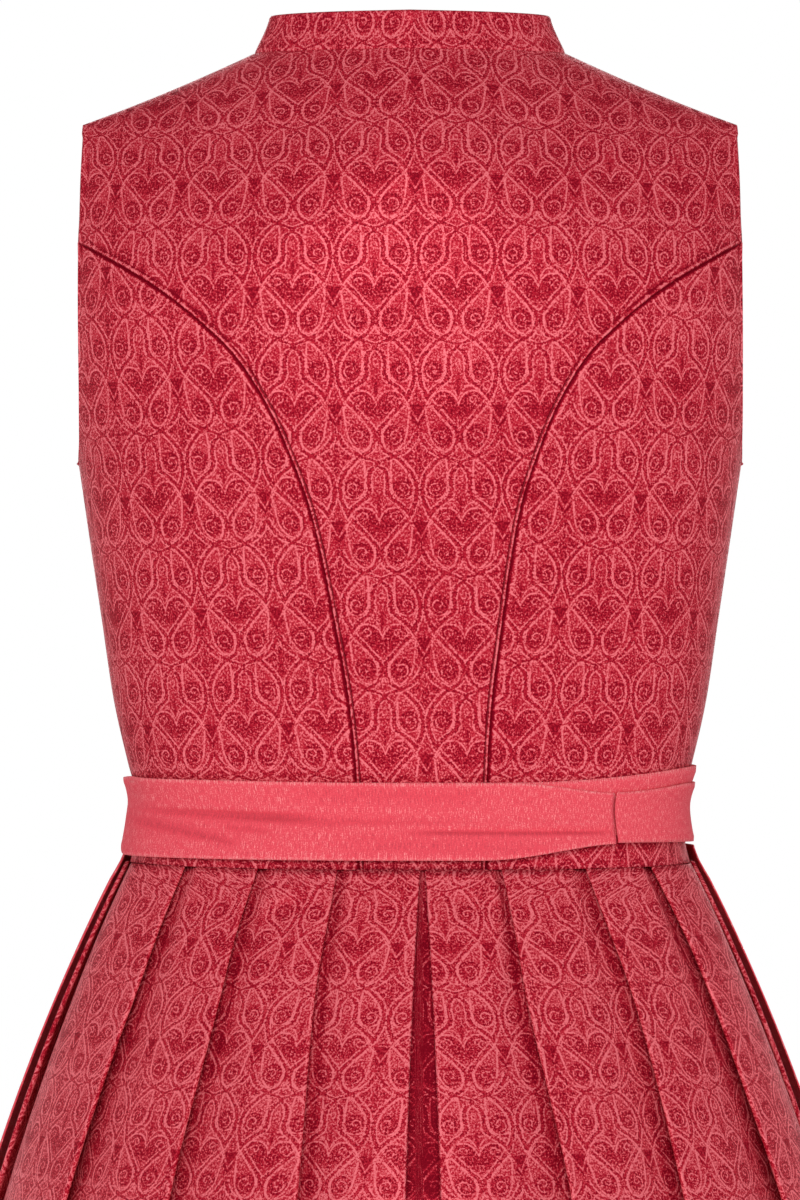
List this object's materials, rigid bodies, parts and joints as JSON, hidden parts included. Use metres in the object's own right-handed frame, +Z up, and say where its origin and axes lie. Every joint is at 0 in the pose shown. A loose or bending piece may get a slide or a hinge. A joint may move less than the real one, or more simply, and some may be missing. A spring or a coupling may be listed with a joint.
{
  "type": "sleeveless dirndl with apron",
  "caption": "Sleeveless high-necked dirndl in tone-on-tone jacquard with a stand collar, curved back seams, a knife-pleated skirt and a plain apron tied round the waist.",
  "frame": {"origin": "between the shoulders, level with the middle of the shoulder seams, where the wearer holds the dress up", "axes": "+Z up towards the collar, the front faces -Y, the wearer's left is +X"},
  "size_m": [0.586, 0.6347, 1.0749],
  "materials": {
    "jacquard": "satin",
    "apron_cloth": "satin"
  },
  "bodies": {
    "root": {"back_centre": "jacquard", "side_back_left": "jacquard", "side_back_right": "jacquard", "side_front_left": "jacquard", "side_front_right": "jacquard", "front_left": "jacquard", "front_right": "jacquard", "collar": "jacquard", "skirt_back": "jacquard", "skirt_front": "jacquard", "apron_panel": "apron_cloth", "apron_waistband": "apron_cloth", "tie_over": "apron_cloth", "tie_under": "apron_cloth", "tie_knot": "apron_cloth", "tie_tail_inner": "apron_cloth", "tie_tail_outer": "apron_cloth"}
  },
  "joints": []
}
